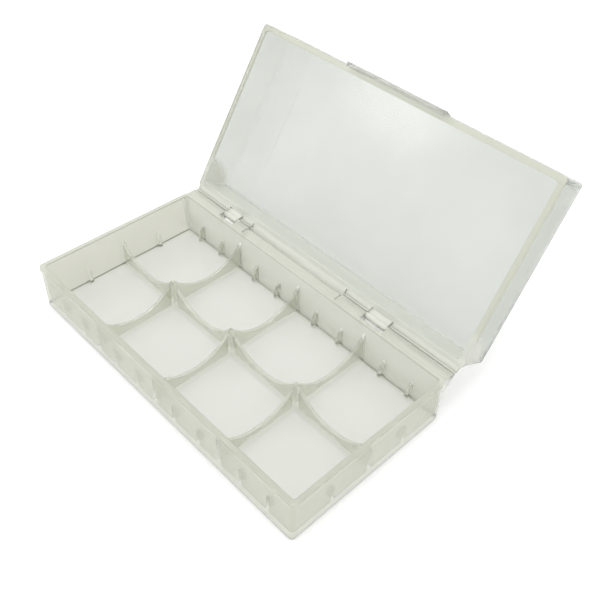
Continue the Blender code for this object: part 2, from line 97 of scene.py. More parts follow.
class Formula:
    """Writes sums as nodes in a node tree."""

    def __init__(self, tree: NodeTree) -> None:
        """Keeps the tree that the nodes go into."""
        self.tree = tree

    def give(self, socket: Socket, value: Union[Term, Sequence[float]]) -> None:
        """Links a socket to another one or gives it a plain value."""
        if isinstance(value, Socket):
            self.tree.links.new(value, socket)
        else:
            socket.default_value = value

    def node(self, operation: str, *values: Term) -> Socket:
        """Adds one math node.

        Args:
            operation: The node's operation.
            values: Numbers or sockets for its inputs.

        Returns:
            The socket with the result.
        """
        made = self.tree.nodes.new("ShaderNodeMath")
        made.operation = operation
        for socket, value in zip(made.inputs, values):
            self.give(socket, value)
        return made.outputs[0]

    def vector(self, operation: str, place: Socket, other: Sequence[float]) -> Node:
        """Adds one vector math node with a fixed second vector."""
        made = self.tree.nodes.new("ShaderNodeVectorMath")
        made.operation = operation
        self.give(made.inputs[0], place)
        self.give(made.inputs[1], other)
        return made

    def mix(self, factor: Socket, first: Union[Term, Colour], second: Union[Term, Colour]) -> Socket:
        """Blends two numbers or two colours.

        Args:
            factor: 0 for the first, 1 for the second.
            first: A number, a colour or a socket with either.
            second: The same.

        Returns:
            The socket with the blend.
        """
        ends = {"A": first, "B": second}
        coloured = any(isinstance(end, tuple) or getattr(end, "type", "") == "RGBA"
                       for end in ends.values())
        made = self.tree.nodes.new("ShaderNodeMix")
        made.data_type = "RGBA" if coloured else "FLOAT"
        self.give(made.inputs["Factor"], factor)
        for name, end in ends.items():
            self.give(made.inputs[name], (*end, 1.0) if isinstance(end, tuple) else end)
        return made.outputs["Result"]

    def noise(self, place: Socket, scale: float, detail: float) -> Socket:
        """Adds cloud noise, which runs from 0 to 1."""
        made = self.tree.nodes.new("ShaderNodeTexNoise")
        made.inputs["Scale"].default_value = scale
        made.inputs["Detail"].default_value = detail
        self.give(made.inputs["Vector"], place)
        return made.outputs["Fac"]

    def fade(self, value: Socket, start: float, end: float) -> Socket:
        """Adds a smooth step that is 1 where the value hasn't come to its start and 0 past its end."""
        made = self.tree.nodes.new("ShaderNodeMapRange")
        made.interpolation_type = "SMOOTHSTEP"
        for name, number in {"From Min": start, "From Max": end, "To Min": 1.0, "To Max": 0.0}.items():
            made.inputs[name].default_value = number
        self.give(made.inputs["Value"], value)
        return made.outputs["Result"]

    def attribute(self, name: str) -> Socket:
        """Reads a number that each point of the mesh carries."""
        made = self.tree.nodes.new("GeometryNodeInputNamedAttribute")
        made.data_type = "FLOAT"
        made.inputs["Name"].default_value = name
        return made.outputs["Attribute"]

    def rays(self, *kinds: str) -> Socket:
        """Tells light rays of any of the given kinds: 1 for them and 0 for the others."""
        path = self.tree.nodes.new("ShaderNodeLightPath")
        told = path.outputs[kinds[0]]
        for kind in kinds[1:]:
            told = self.node("MAXIMUM", told, path.outputs[kind])
        return told

    def blend(self, factor: Socket, first: Socket, second: Socket) -> Socket:
        """Blends two shaders: 0 is the first and 1 the second."""
        made = self.tree.nodes.new("ShaderNodeMixShader")
        for socket, value in zip(made.inputs, (factor, first, second)):
            self.give(socket, value)
        return made.outputs[0]

    def scoop(self, along: Term, pitch: Term, low: Term, top: Term, peak: Term) -> Socket:
        """Height of a rib's edge: round scoops a pitch apart, with narrow peaks between them.

        Args:
            along: Place along the rib.
            pitch: Distance from one peak to the next.
            low: Height of a scoop's lowest point.
            top: Height of the peaks.
            peak: Width of a peak's flat top.

        Returns:
            The socket with the height.
        """
        node = self.node
        half_pitch = node("MULTIPLY", pitch, 0.5)
        from_peak = node("PINGPONG", along, half_pitch)
        from_middle = node("SUBTRACT", half_pitch, from_peak)
        half_chord = node("MULTIPLY", node("SUBTRACT", pitch, peak), 0.5)
        rise = node("SUBTRACT", top, low)
        squares = node("ADD", node("MULTIPLY", rise, rise), node("MULTIPLY", half_chord, half_chord))
        radius = node("DIVIDE", squares, node("MULTIPLY", rise, 2.0))
        inside = node("MINIMUM", from_middle, half_chord)
        drop = node("SQRT", node("SUBTRACT", node("MULTIPLY", radius, radius),
                                 node("MULTIPLY", inside, inside)))
        return node("SUBTRACT", node("ADD", low, radius), drop)

    def rise(self, share: Term, height: Term, floor: Term) -> Socket:
        """Height above zero of a point at a share of the way from the floor up to a height."""
        return self.node("MULTIPLY_ADD", share, self.node("SUBTRACT", height, floor), floor)

    def shoulder(self, distance: Term, depth: Term, foot: Term, top: Term, bend: Term,
                 floor: Term) -> Socket:
        """Height of a fin's edge: a rounded shoulder out to its depth, then a short flared foot.

        Args:
            distance: Distance from the wall.
            depth: Depth of the fin's upright edge.
            foot: Width of the flare in front of that edge.
            top: Height of the fin at the wall.
            bend: Height at which the round shoulder starts.
            floor: Height of the floor.

        Returns:
            The socket with the height.
        """
        node = self.node
        out = node("DIVIDE", distance, depth)
        share = node("MINIMUM", node("MAXIMUM", out, 0.0), 1.0)
        bow = node("SQRT", node("SUBTRACT", 1.0, node("MULTIPLY", share, share)))
        round_part = node("MULTIPLY_ADD", bow, node("SUBTRACT", top, bend), bend)
        beyond = node("DIVIDE", node("SUBTRACT", distance, depth), foot)
        left = node("MAXIMUM", node("SUBTRACT", 1.0, beyond), 0.0)
        flare = node("MULTIPLY_ADD", node("MULTIPLY", left, left), foot, floor)
        past = node("GREATER_THAN", distance, node("MULTIPLY", depth, JUST_PAST))
        return node("ADD", node("MULTIPLY", past, flare),
                    node("MULTIPLY", node("SUBTRACT", 1.0, past), round_part))


@dataclass(frozen=True)
class MilkyPlastic:
    """Milky clear polypropylene: part of the light goes through, part is scattered back.

    The hinge's thick parts are milkier and painted lighter, partly to lift the shade on the rear wall;
    the rim's band is darkened with painted shade; the thin bed has a look of its own; and the foot's
    outline is darkened with a painted contact shadow. Lengths are in metres, and a zone's pairs of them
    say where it starts and ends to fade.

    Attributes:
        name: Name of the material.
        colour: Main colour of the plastic.
        cloud_colour: Colour of the faint clouds that flow leaves in the moulding.
        clearness: Share of the light that bends through.
        smoke: Share of the clearness that the clouds take away.
        roughness: How matt the surface is.
        ripple: Height of the fine ripple that moulding leaves.
        ripple_scale: Ripples per metre.
        ripple_detail: Finer ripples on each ripple.
        cloud_scale: Clouds per metre.
        cloud_detail: Finer clouds on each cloud.
        tint: Colour that the inside lets through.
        density: Strength of that tint, per metre.
        ior: Index of refraction.
        gloss: Share of a clear skin on the plastic.
        gloss_roughness: How matt that skin is.
        thick_line: Y and Z of the line through the thick parts.
        thick_stretch: How much height counts in the distance from that line.
        thick_reach: Distances from the line.
        thick_lift_colour: Colour of the thick parts: a milkier tone, painted lighter to lift the shade
            on the rear wall.
        thick_clearness: Clearness of the thick parts.
        rim_shade_colour: Colour of the painted shade on the rim's band, which stands in for the dark
            look of the thick rim and for less light on its top.
        rim_clearness: Clearness of the rim's band.
        rim_depth: Depths below the rim.
        rim_hold: How far the band keeps its painted shade near the hinge.
        bed_colour: Colour of the bed.
        bed_height: Heights of the bed; below the piece where it has none.
        bed_reach: Distances past the foot's outline, less than 0 inside it.
        foot_shadow_colour: Colour of the painted contact shadow along the foot's outline.
        foot_clearness: Clearness along it.
        foot_half: Half length and half width of it; far outside where there is none.
        foot_reach: Distances past it.
        foot_height: Heights of the foot.
    """

    name: str
    colour: Colour
    cloud_colour: Colour
    clearness: float = 0.85
    smoke: float = 0.10
    roughness: float = 0.2
    ripple: float = 0.00003
    ripple_scale: float = 240.0
    ripple_detail: float = 2.0
    cloud_scale: float = 26.0
    cloud_detail: float = 3.0
    tint: Colour = (0.90, 0.92, 0.82)
    density: float = 30.0
    ior: float = 1.36
    gloss: float = 0.0
    gloss_roughness: float = 0.07
    thick_line: Span = (0.0445, 0.0215)
    thick_stretch: float = 1.0
    thick_reach: Span = (0.0150, 0.0210)
    thick_lift_colour: Colour = (0.84, 0.85, 0.78)
    thick_clearness: float = 0.5
    rim_shade_colour: Colour = (0.62, 0.63, 0.54)
    rim_clearness: float = 0.35
    rim_depth: Span = (0.0003, 0.0010)
    rim_hold: float = 0.0
    bed_colour: Colour = (0.85, 0.86, 0.82)
    bed_height: Span = (-1.0, -0.9)
    bed_reach: Span = (-0.0032, -0.0018)
    foot_shadow_colour: Colour = (0.24, 0.25, 0.22)
    foot_clearness: float = 0.1
    foot_half: Span = (1.0, 1.0)
    foot_reach: Span = (-0.0002, -0.0006)
    foot_height: Span = (0.0006, 0.0011)

    def make(self, rim: Vector = NO_RIM, rim_normal: Vector = UPWARDS) -> Material:
        """Builds the node material.

        Args:
            rim: A point on the moulding's rim; far above the piece where it has none.
            rim_normal: Way in which the moulding opens.

        Returns:
            The material.
        """
        material = bpy.data.materials.new(self.name)
        material.use_nodes = True
        nodes, links = material.node_tree.nodes, material.node_tree.links
        shader = nodes["Principled BSDF"]
        sums = Formula(material.node_tree)
        place = nodes.new("ShaderNodeTexCoord").outputs["Object"]
        clouds = sums.noise(place, self.cloud_scale, self.cloud_detail)
        below, hinge, bed, foot = self.measure_zones(sums, place, rim, rim_normal)

        colour = sums.mix(clouds, self.colour, self.cloud_colour)
        colour = sums.mix(bed, colour, self.bed_colour)
        # Painted shade: the rim's band is darkened, standing in for the dark look of the thick rim and
        # for less light on its top.
        colour = sums.mix(below, self.rim_shade_colour, colour)
        # Milkier thick parts, painted lighter so as to lift the shade on the rear wall.
        colour = sums.mix(hinge, colour, self.thick_lift_colour)
        # Painted contact shadow: a dark line along the foot's outline, where the box meets the floor.
        colour = sums.mix(foot, colour, self.foot_shadow_colour)
        links.new(colour, shader.inputs["Base Color"])

        clear = sums.node("MULTIPLY_ADD", clouds, -self.smoke, self.clearness)
        clear = sums.mix(below, self.rim_clearness, clear)
        clear = sums.mix(hinge, clear, self.thick_clearness)
        clear = sums.mix(foot, clear, self.foot_clearness)
        links.new(clear, shader.inputs["Transmission Weight"])

        bump = nodes.new("ShaderNodeBump")
        bump.inputs["Distance"].default_value = self.ripple
        links.new(sums.noise(place, self.ripple_scale, self.ripple_detail), bump.inputs["Height"])
        links.new(bump.outputs["Normal"], shader.inputs["Normal"])
        for name, value in {"Roughness": self.roughness, "IOR": self.ior, "Coat Weight": self.gloss,
                            "Coat Roughness": self.gloss_roughness}.items():
            shader.inputs[name].default_value = value
        inside = nodes.new("ShaderNodeVolumeAbsorption")
        inside.inputs["Color"].default_value = (*self.tint, 1.0)
        inside.inputs["Density"].default_value = self.density
        links.new(inside.outputs["Volume"], nodes["Material Output"].inputs["Volume"])
        return material

    def measure_zones(self, sums: Formula, place: Socket, rim: Vector,
                      rim_normal: Vector) -> tuple[Socket, Socket, Socket, Socket]:
        """Measures how far a place belongs to each zone.

        Args:
            sums: Writer for the material's node tree.
            place: Socket with the place on the object.
            rim: A point on the moulding's rim.
            rim_normal: Way in which the moulding opens.

        Returns:
            Sockets that are 1 below the rim's band, in the hinge's thick parts, on the bed and along the
            foot's outline, and 0 elsewhere.
        """
        level = rim.dot(rim_normal)
        height = sums.vector("DOT_PRODUCT", place, rim_normal).outputs["Value"]
        below = sums.fade(height, level - self.rim_depth[1], level - self.rim_depth[0])

        line = (0.0, self.thick_line[0], self.thick_line[1] * self.thick_stretch)
        flat = sums.vector("MULTIPLY", place, (0.0, 1.0, self.thick_stretch)).outputs["Vector"]
        near = sums.fade(sums.vector("DISTANCE", flat, line).outputs["Value"], *self.thick_reach)
        held = sums.node("MULTIPLY_ADD", below, self.rim_hold, 1.0 - self.rim_hold)

        parts = sums.tree.nodes.new("ShaderNodeSeparateXYZ")
        sums.give(parts.inputs["Vector"], place)
        past = sums.node("MAXIMUM", *(
            sums.node("SUBTRACT", sums.node("ABSOLUTE", parts.outputs[axis]), half)
            for axis, half in zip("XY", self.foot_half)))
        bed, foot = (
            sums.node("MULTIPLY", sums.fade(parts.outputs["Z"], *heights), sums.fade(past, *reach))
            for heights, reach in ((self.bed_height, self.bed_reach),
                                   (self.foot_height, self.foot_reach)))
        return below, sums.node("MULTIPLY", near, held), bed, foot


# The tray's rim band carries painted shade, the lighter colour of its thick parts partly paints light on
# the shaded rear wall, and its foot's outline carries a painted contact shadow.
TRAY_FINISH = MilkyPlastic(
    "milky_tray_plastic", (0.825, 0.83, 0.75), (0.775, 0.785, 0.70), ior=1.14, gloss=0.45,
    rim_shade_colour=(0.61, 0.62, 0.54), rim_hold=0.75, thick_stretch=0.25, thick_reach=(0.0060, 0.0085),
    thick_lift_colour=(0.92, 0.93, 0.87), thick_clearness=0.4, bed_height=(0.0024, 0.0050),
    foot_half=(0.0795, 0.04015))
LID_FINISH = MilkyPlastic("milky_lid_plastic", (0.80, 0.83, 0.79), (0.76, 0.78, 0.74), clearness=0.95,
                          roughness=0.15)
LATCH_FINISH = MilkyPlastic("milky_latch_plastic", (0.88, 0.89, 0.84), (0.85, 0.86, 0.81), clearness=0.8)


class MouldRule:
    """The rule of the shells' surfaces, as one Geometry Nodes tree with named sizes."""

    NAME = "moulded_shell_rule"
    SIZES = ("Floor", "Rim", "Scoop Low", "Rib Top", "Peak Width", "Column Pitch", "Row Pitch",
             "Fin Top", "Fin Shoulder", "Fin Depth", "Fin Foot", "Melt", "Field Sink")

    def build(self) -> NodeTree:
        """Builds the tree that raises walls, ribs and fins and sinks the label field.

        Returns:
            The node tree.
        """
        tree = bpy.data.node_groups.new(self.NAME, "GeometryNodeTree")
        kinds = {"Geometry": "Geometry", **dict.fromkeys(self.SIZES, "Float"), "Plastic": "Material"}
        for name, kind in kinds.items():
            tree.interface.new_socket(name, in_out="INPUT", socket_type="NodeSocket" + kind)
        tree.interface.new_socket("Geometry", in_out="OUTPUT", socket_type="NodeSocketGeometry")
        given = tree.nodes.new("NodeGroupInput").outputs
        made = tree.nodes.new("NodeGroupOutput").inputs
        sums = Formula(tree)
        parts = tree.nodes.new("ShaderNodeSeparateXYZ")
        sums.give(parts.inputs[0], tree.nodes.new("GeometryNodeInputPosition").outputs[0])
        along, across, up = parts.outputs
        floor = given["Floor"]

        ribs = [sums.rise(sums.attribute(name), sums.scoop(
            way, pitch, given["Scoop Low"], given["Rib Top"], given["Peak Width"]), floor)
            for name, way, pitch in (("long_rib", along, given["Column Pitch"]),
                                     ("cross_rib", across, given["Row Pitch"]))]
        wall = sums.rise(sums.attribute("wall"), given["Rim"], floor)
        fins = [sums.rise(sums.attribute(side + "_fin"), sums.shoulder(
            sums.attribute("from_" + side), given["Fin Depth"], given["Fin Foot"], given["Fin Top"],
            given["Fin Shoulder"], floor), floor)
            for side in ("long_wall", "end_wall")]
        melt = given["Melt"]
        filled = sums.node("SMOOTH_MAX", sums.node("SMOOTH_MAX", *ribs, melt), wall, melt)
        height = sums.node("MAXIMUM", filled, sums.node("MAXIMUM", *fins))
        inside = sums.attribute("inside")
        level = sums.node("ADD", sums.node("MULTIPLY", inside, height),
                          sums.node("MULTIPLY", sums.node("SUBTRACT", 1.0, inside), up))
        sunk = sums.node("MULTIPLY_ADD", sums.attribute("field"), given["Field Sink"], level)

        place = tree.nodes.new("ShaderNodeCombineXYZ")
        for socket, value in zip(place.inputs, (along, across, sunk)):
            sums.give(socket, value)
        setting = tree.nodes.new("GeometryNodeSetPosition")
        sums.give(setting.inputs["Geometry"], given["Geometry"])
        sums.give(setting.inputs["Position"], place.outputs[0])
        real = tree.nodes.new("GeometryNodeRealizeInstances")
        sums.give(real.inputs[0], setting.outputs[0])
        dressed = tree.nodes.new("GeometryNodeSetMaterial")
        sums.give(dressed.inputs["Geometry"], real.outputs[0])
        sums.give(dressed.inputs["Material"], given["Plastic"])
        sums.give(made[0], dressed.outputs[0])
        return tree


@dataclass
class GridLine:
    """One line of a shell's grid and what rises on it.

    Attributes:
        place: Distance from the middle along the line's axis.
        rib: Share of a rib's height reached on this line.
        fin: Share of a fin's height reached on this line.
        wall: Share of the wall's height reached on this line.
    """

    place: float
    rib: float = 0.0
    fin: float = 0.0
    wall: float = 0.0


@dataclass
class AxisLines:
    """The lines of a shell's grid along one axis.

    Attributes:
        step: Greatest distance between two plain lines.
        found: The lines by their rounded place.
        spans: Spans that get no plain lines.
    """

    step: float
    found: dict[float, GridLine] = field(default_factory=dict)
    spans: list[Span] = field(default_factory=list)

    def add(self, line: GridLine) -> None:
        """Adds a line, or lets the one that is in its place rise as high."""
        old = self.found.setdefault(round(line.place, PLACE_DIGITS), line)
        for kind in ("rib", "fin", "wall"):
            setattr(old, kind, max(getattr(old, kind), getattr(line, kind)))

    def keep(self, first: float, second: float) -> None:
        """Keeps the span between two places free of plain lines."""
        self.spans.append((min(first, second), max(first, second)))

    def add_profile(self, middle: float, profile: Sequence[Span], kind: str) -> None:
        """Adds both sides of a rib or a fin.

        Args:
            middle: Place of its middle.
            profile: Distances from there and the shares of its height.
            kind: The GridLine field that takes the shares.
        """
        for distance, share in profile:
            for side in SIDES:
                self.add(GridLine(middle + side * distance, **{kind: share}))
        self.keep(middle - profile[-1][0], middle + profile[-1][0])

    def filled(self) -> list[GridLine]:
        """Adds plain lines wherever two neighbours are further apart than a step.

        Returns:
            All the lines in order.
        """
        places = sorted(self.found)
        for low, high in zip(places, places[1:]):
            extra = math.ceil((high - low) / self.step - STEP_SLACK) - 1
            if any(start - TINY <= low and high <= end + TINY for start, end in self.spans):
                continue
            for number in range(1, extra + 1):
                place = low + (high - low) * number / (extra + 1)
                self.found[round(place, PLACE_DIGITS)] = GridLine(place)
        return [self.found[key] for key in sorted(self.found)]


@dataclass
class ShellSizes:
    """Sizes of a moulded shell, opening upwards, in its own frame with its middle at X = Y = 0.

    A band stands a step proud round the rim, and a label field may be sunk into the underside. The last
    three sizes are shares of rim_round.
    """

    half_length: float
    half_width: float
    height: float
    floor: float
    wall: float
    band_step: float = 0.0004
    band_height: float = 0.0025
    slope: float = math.tan(math.radians(0.3))
    outer_corner: float = 0.0020
    inner_corner: float = 0.0012
    base_corner: float = 0.0006
    outer_edge: float = 0.0006
    inner_edge: float = 0.0008
    line_step: float = 0.0016
    field_half_length: float = 0.0
    field_half_width: float = 0.0
    field_sink: float = 0.0
    field_round: float = 0.00015
    rim_round: float = 0.00025
    rim_inner_round: float = 0.3
    band_low_round: float = 0.7
    band_low_drop: float = 0.5

    def narrowing(self, z: float) -> float:
        """How much narrower the walls are at a height than at the rim."""
        return self.slope * (self.height - z)


@dataclass
class RibSizes:
    """Sizes of the scooped ribs and the fins inside the tray.

    A section pairs shares of a part's width with shares of the height, from the middle outwards. The
    lines cross a fin at shares of its depth and of its foot.
    """

    column_count: int = 4
    row_count: int = 2
    scoop_low: float = 0.0075
    top: float = 0.0172
    peak_width: float = 0.0010
    top_thickness: float = 0.0016
    base_thickness: float = 0.0028
    foot_flare: float = 0.00035
    fin_top: float = 0.0115
    fin_shoulder: float = 0.0050
    fin_depth: float = 0.0027
    fin_foot: float = 0.0006
    fin_thickness: float = 0.0016
    fin_spread: float = 0.0148
    melt: float = 0.0006
    edge_section: tuple[Span, ...] = ((0.0, 1.0), (0.55, 1.0), (0.88, 0.985), (1.0, 0.94))
    flank_section: tuple[Span, ...] = ((0.5, 0.55), (1.0, 0.16))
    foot_section: tuple[Span, ...] = ((0.25, 0.07), (0.6, 0.018), (1.0, 0.0))
    fin_section: tuple[Span, ...] = (
        (0.0, 1.0), (0.6, 0.985), (1.0, 0.9), (1.15, 0.2), (1.5, 0.05), (2.2, 0.0))
    depth_lines: tuple[float, ...] = (0.55, 0.75, 0.88, 0.95, 0.985, 1.0, 1.02)
    foot_lines: tuple[float, ...] = (0.25, 0.6, 1.0)

    def rib_profile(self) -> list[Span]:
        """Half section of a rib as distance from its middle and share of its height."""
        half_top, half_base = self.top_thickness / 2, self.base_thickness / 2
        parts = ((0.0, half_top, self.edge_section),
                 (half_top, half_base - half_top, self.flank_section),
                 (half_base, self.foot_flare, self.foot_section))
        return [(start + width * across, share)
                for start, width, section in parts for across, share in section]

    def fin_profile(self) -> list[Span]:
        """Half section of a fin as distance from its middle and share of its height."""
        return [(self.fin_thickness / 2 * across, share) for across, share in self.fin_section]

    def fin_distances(self) -> list[float]:
        """Distances from the wall of the lines that cross the fins."""
        return ([self.fin_depth * share for share in self.depth_lines]
                + [self.fin_depth + self.fin_foot * share for share in self.foot_lines])


class MouldedShell:
    """A moulded shell: a grid for its inside, rings for its rim and walls, and a face or grid below."""

    LAYERS = ("inside", "wall", "long_rib", "cross_rib", "long_wall_fin", "end_wall_fin",
              "from_long_wall", "from_end_wall", "field")

    def __init__(self, name: str, sizes: ShellSizes, ribs: RibSizes | None = None) -> None:
        """Keeps the sizes and works out the inner walls' places."""
        self.name = name
        self.sizes = sizes
        self.ribs = ribs
        inset = sizes.narrowing(sizes.floor)
        self.inner_top = (sizes.half_length - sizes.band_step - sizes.wall,
                          sizes.half_width - sizes.band_step - sizes.wall)
        self.inner_foot = (self.inner_top[0] - inset, self.inner_top[1] - inset)

    def lines(self, axis: int) -> list[GridLine]:
        """Places the lines of the inner grid along one axis.

        Args:
            axis: 0 for the lines along the length, 1 for those across.

        Returns:
            The lines in order.
        """
        lines = AxisLines(self.sizes.line_step)
        foot, top, edge = self.inner_foot[axis], self.inner_top[axis], self.sizes.inner_edge
        rise = self.sizes.height - self.sizes.floor
        start = edge / rise
        for side in SIDES:
            for sine, cosine in quarter_turn(4):
                lines.add(GridLine(side * (foot - edge + edge * sine), wall=edge * (1 - cosine) / rise))
            for share in (0.25, 0.5, 0.75, 1.0):
                place = side * (foot + (top - foot) * share)
                lines.add(GridLine(place, wall=start + (1 - start) * share))
            lines.keep(side * (foot - edge), side * (foot + edge))
        if self.ribs is not None:
            self.add_rib_lines(lines, axis, self.ribs)
        half = (self.sizes.field_half_length, self.sizes.field_half_width)[axis]
        if half > 0.0:
            for place in (half - self.sizes.field_round, half):
                for side in SIDES:
                    lines.add(GridLine(side * place))
        return lines.filled()

    def add_rib_lines(self, lines: AxisLines, axis: int, ribs: RibSizes) -> None:
        """Adds the lines that carry the ribs and the fins.

        Args:
            lines: The axis's lines.
            axis: 0 for the lines along the length, 1 for those across.
            ribs: The ribs' and fins' sizes.
        """
        count = (ribs.column_count, ribs.row_count)[axis]
        pitch = 2 * self.inner_top[axis] / count
        for number in range(1, count):
            lines.add_profile(pitch * (number - count / 2), ribs.rib_profile(), "rib")
        offsets = (-ribs.fin_spread / 2, ribs.fin_spread / 2) if axis == 0 else (0.0,)
        for number in range(count):
            for offset in offsets:
                lines.add_profile(pitch * (number + 0.5 - count / 2) + offset, ribs.fin_profile(), "fin")
        for side in SIDES:
            places = [side * (self.inner_foot[axis] - distance) for distance in ribs.fin_distances()]
            for place in places:
                lines.add(GridLine(place))
            lines.keep(places[0], places[-1])

    @staticmethod
    def rounded(x: float, y: float, half_x: float, half_y: float, radius: float) -> Span:
        """Moves a point near a corner so that the rings round that corner."""
        over_x = abs(x) - (half_x - radius)
        over_y = abs(y) - (half_y - radius)
        if over_x <= 0 or over_y <= 0:
            return x, y
        share = max(over_x, over_y) / math.hypot(over_x, over_y)
        return (math.copysign(half_x - radius + over_x * share, x),
                math.copysign(half_y - radius + over_y * share, y))

    def build_mesh(self) -> Mesh:
        """Builds the base mesh with the attributes that the rule reads.

        Returns:
            The closed mesh, still flat inside.
        """
        xs, ys = self.lines(0), self.lines(1)
        bm = bmesh.new()
        layers = {name: bm.verts.layers.float.new(name) for name in self.LAYERS}
        inner = []
        for line_x in xs:
            inner.append([])
            for line_y in ys:
                x, y = self.rounded(line_x.place, line_y.place, *self.inner_top, self.sizes.inner_corner)
                vert = bm.verts.new((x, y, self.sizes.floor))
                values = {"inside": 1.0, "wall": max(line_x.wall, line_y.wall),
                          "long_rib": line_y.rib, "cross_rib": line_x.rib,
                          "long_wall_fin": line_x.fin, "end_wall_fin": line_y.fin,
                          "from_long_wall": self.inner_foot[1] - abs(line_y.place),
                          "from_end_wall": self.inner_foot[0] - abs(line_x.place)}
                for name, value in values.items():
                    vert[layers[name]] = value
                inner[-1].append(vert)
        self.fill_grid(bm, inner, up=True)
        ring = self.border(inner)
        shares = self.border([[(line_x.place / self.inner_top[0], line_y.place / self.inner_top[1])
                               for line_y in ys] for line_x in xs])
        for half_x, half_y, radius, z in self.outer_rings():
            places = (self.rounded(share_x * half_x, share_y * half_y, half_x, half_y, radius)
                      for share_x, share_y in shares)
            fresh = [bm.verts.new((*place, z)) for place in places]
            for number, vert in enumerate(ring):
                following = (number + 1) % len(ring)
                bm.faces.new((vert, ring[following], fresh[following], fresh[number]))
            ring = fresh
        self.close_base(bm, xs, ys, ring, layers["field"])
        bmesh.ops.recalc_face_normals(bm, faces=bm.faces)
        return as_mesh(bm, self.name)

    @staticmethod
    def fill_grid(bm: bmesh.types.BMesh, grid: list, up: bool) -> None:
        """Fills a grid of points with faces that look up or down."""
        for row, after in zip(grid, grid[1:]):
            for number in range(len(row) - 1):
                square = (row[number], after[number], after[number + 1], row[number + 1])
                bm.faces.new(square if up else tuple(reversed(square)))

    @staticmethod
    def border(grid: list) -> list:
        """Walks round a grid's border."""
        return ([row[0] for row in grid[:-1]] + grid[-1][:-1] + [row[-1] for row in grid[:0:-1]]
                + grid[0][:0:-1])

    def outer_rings(self) -> list[tuple[float, float, float, float]]:
        """Places the rings from the rim's inner edge over the band and down to the base.

        Returns:
            The rings' half lengths, half widths, corners and heights.
        """
        sizes = self.sizes
        band = (sizes.half_length, sizes.half_width)
        wall = (sizes.half_length - sizes.band_step, sizes.half_width - sizes.band_step)
        small, edge = sizes.rim_round, sizes.outer_edge
        band_low = sizes.height - sizes.band_height
        low_round = small * sizes.band_low_round
        corner = sizes.outer_corner - sizes.band_step

        rings = [(self.inner_top, -small * sizes.rim_inner_round, sizes.inner_corner, sizes.height),
                 (band, small, sizes.outer_corner - small, sizes.height)]
        for sine, cosine in quarter_turn(3)[1:]:
            inset = small * (1 - sine)
            rings.append((band, inset, sizes.outer_corner - inset, sizes.height - small * (1 - cosine)))
        rings += [(band, 0.0, sizes.outer_corner, band_low + low_round),
                  (band, low_round, sizes.outer_corner - low_round, band_low),
                  (wall, sizes.narrowing(band_low), corner, band_low - small * sizes.band_low_drop)]
        for share in (0.5, 1.0):
            z = band_low + (edge - band_low) * share
            rings.append((wall, sizes.narrowing(z), corner, z))
        for sine, cosine in quarter_turn(4)[1:]:
            inset = sizes.narrowing(0.0) + edge * (1 - cosine)
            rings.append((wall, inset, max(corner - inset, sizes.base_corner), edge * (1 - sine)))
        return [(half[0] - inset, half[1] - inset, radius, z) for half, inset, radius, z in rings]

    @staticmethod
    def stretched(place: float, half: float, end: float, new_end: float) -> float:
        """Moves a place outside the label field so that the grid's end comes to a new place."""
        if abs(place) <= half:
            return place
        return math.copysign(half + (abs(place) - half) / (end - half) * (new_end - half), place)

    def close_base(self, bm: bmesh.types.BMesh, xs: Sequence[GridLine], ys: Sequence[GridLine],
                   ring: list, field_layer: bmesh.types.BMLayerItem) -> None:
        """Closes the base with one flat face, or with a grid where a label field is sunk into it.

        Args:
            bm: The mesh.
            xs: The inner grid's lines along the length.
            ys: The inner grid's lines across.
            ring: The base's border, in the order of the inner grid's.
            field_layer: Layer that marks the field's points.
        """
        sizes = self.sizes
        if sizes.field_half_length == 0.0:
            bm.faces.new(tuple(reversed(ring)))
            return
        halves = (sizes.field_half_length, sizes.field_half_width)
        ends = [max(abs(vert.co[axis]) for vert in ring) for axis in (0, 1)]
        taken = dict(zip(self.border([[(i, j) for j in range(len(ys))] for i in range(len(xs))]), ring))
        grid = []
        for i, line_x in enumerate(xs):
            row = []
            for j, line_y in enumerate(ys):
                vert = taken.get((i, j))
                if vert is None:
                    places = (line_x.place, line_y.place)
                    x, y = map(self.stretched, places, halves, self.inner_top, ends)
                    vert = bm.verts.new((x, y, 0.0))
                    vert[field_layer] = float(all(abs(place) <= half - sizes.field_round + TINY
                                                  for place, half in zip(places, halves)))
                row.append(vert)
            grid.append(row)
        self.fill_grid(bm, grid, up=False)

    def make(self, tree: NodeTree, material: Material) -> Object:
        """Runs the rule on the base mesh and keeps the result as a plain mesh.

        Args:
            tree: The rule's node tree.
            material: The finish.

        Returns:
            The shell, opening upwards in its own frame.
        """
        made = placed(self.name, self.build_mesh())
        modifier = made.modifiers.new("rule", "NODES")
        modifier.node_group = tree
        sizes, ribs = self.sizes, self.ribs or RibSizes()
        values = {
            "Floor": sizes.floor, "Rim": sizes.height, "Scoop Low": ribs.scoop_low, "Rib Top": ribs.top,
            "Peak Width": ribs.peak_width, "Column Pitch": 2 * self.inner_top[0] / ribs.column_count,
            "Row Pitch": 2 * self.inner_top[1] / ribs.row_count, "Fin Top": ribs.fin_top,
            "Fin Shoulder": ribs.fin_shoulder, "Fin Depth": ribs.fin_depth, "Fin Foot": ribs.fin_foot,
            "Melt": ribs.melt if self.ribs else 0.0, "Field Sink": sizes.field_sink, "Plastic": material}
        for socket in tree.interface.items_tree:
            if socket.in_out == "INPUT" and socket.name in values:
                modifier[socket.identifier] = values[socket.name]
        made.update_tag()
        settle(made, modifier)
        for name in self.LAYERS:
            made.data.attributes.remove(made.data.attributes[name])
        made.data.shade_smooth()
        made.data.set_sharp_from_angle(angle=SHARP_ANGLE)
        return made


